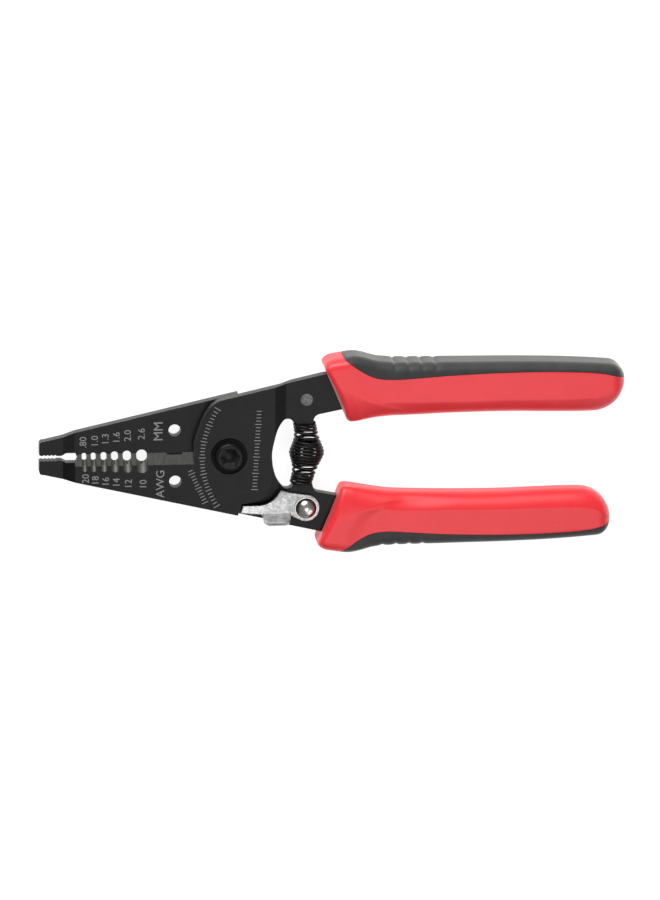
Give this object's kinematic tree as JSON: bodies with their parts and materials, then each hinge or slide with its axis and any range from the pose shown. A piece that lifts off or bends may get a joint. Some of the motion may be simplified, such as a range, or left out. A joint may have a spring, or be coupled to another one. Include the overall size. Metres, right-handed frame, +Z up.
{
  "type": "wire stripper",
  "caption": "Hand wire stripper: crossing spring-opened steel jaws with graded stripping notches, looping holes and a serrated nose, a swinging lock lever and padded handle grips.",
  "frame": {"origin": "below the middle of the whole tool, on the surface it lies on, locked shut", "axes": "+X from the jaws to the handles, +Y towards the handle with no lever, +Z up out of the face with the screw head"},
  "size_m": [0.171, 0.06, 0.0126],
  "materials": {
    "black_oxide_steel": "satin black oxide with bare ground blades",
    "black_screw": "satin black oxide",
    "spring_steel": "black spring wire",
    "zinc_plate": "bright zinc plate",
    "nickel_steel": "polished nickel plate",
    "plain_steel": "dull steel",
    "red_grip": "satin moulded vinyl",
    "black_rubber": "fine-grained soft rubber"
  },
  "bodies": {
    "rear_body": {"rear_half": "black_oxide_steel", "pivot_screw": "black_screw", "pivot_washer": "black_screw", "pivot_nut": "black_screw", "lock_rivet": "nickel_steel", "lock_washer": "nickel_steel", "return_spring": "spring_steel", "lower_grip": "red_grip", "lower_grip_overmould": "black_rubber"},
    "front_body": {"front_half": "black_oxide_steel", "tang_plug_pin": "plain_steel", "upper_grip": "red_grip", "upper_grip_overmould": "black_rubber"},
    "lock_body": {"lock_lever": "zinc_plate"}
  },
  "joints": [
    {"name": "jaw_pivot", "type": "hinge", "parent": "rear_body", "child": "front_body", "pos_m": [-0.03031, 0, 0.0063], "axis": [0, 0, 1], "range_deg": [-1, 18], "deforming": ["return_spring"]},
    {"name": "lock_swing", "type": "hinge", "parent": "rear_body", "child": "lock_body", "pos_m": [-0.00766, -0.0162, 0.00845], "axis": [0, 0, 1], "range_deg": [-2.1, 37.8]}
  ],
  "couplings": [
    {"joint": "lock_swing", "follows": "jaw_pivot", "ratio": 2.1}
  ]
}
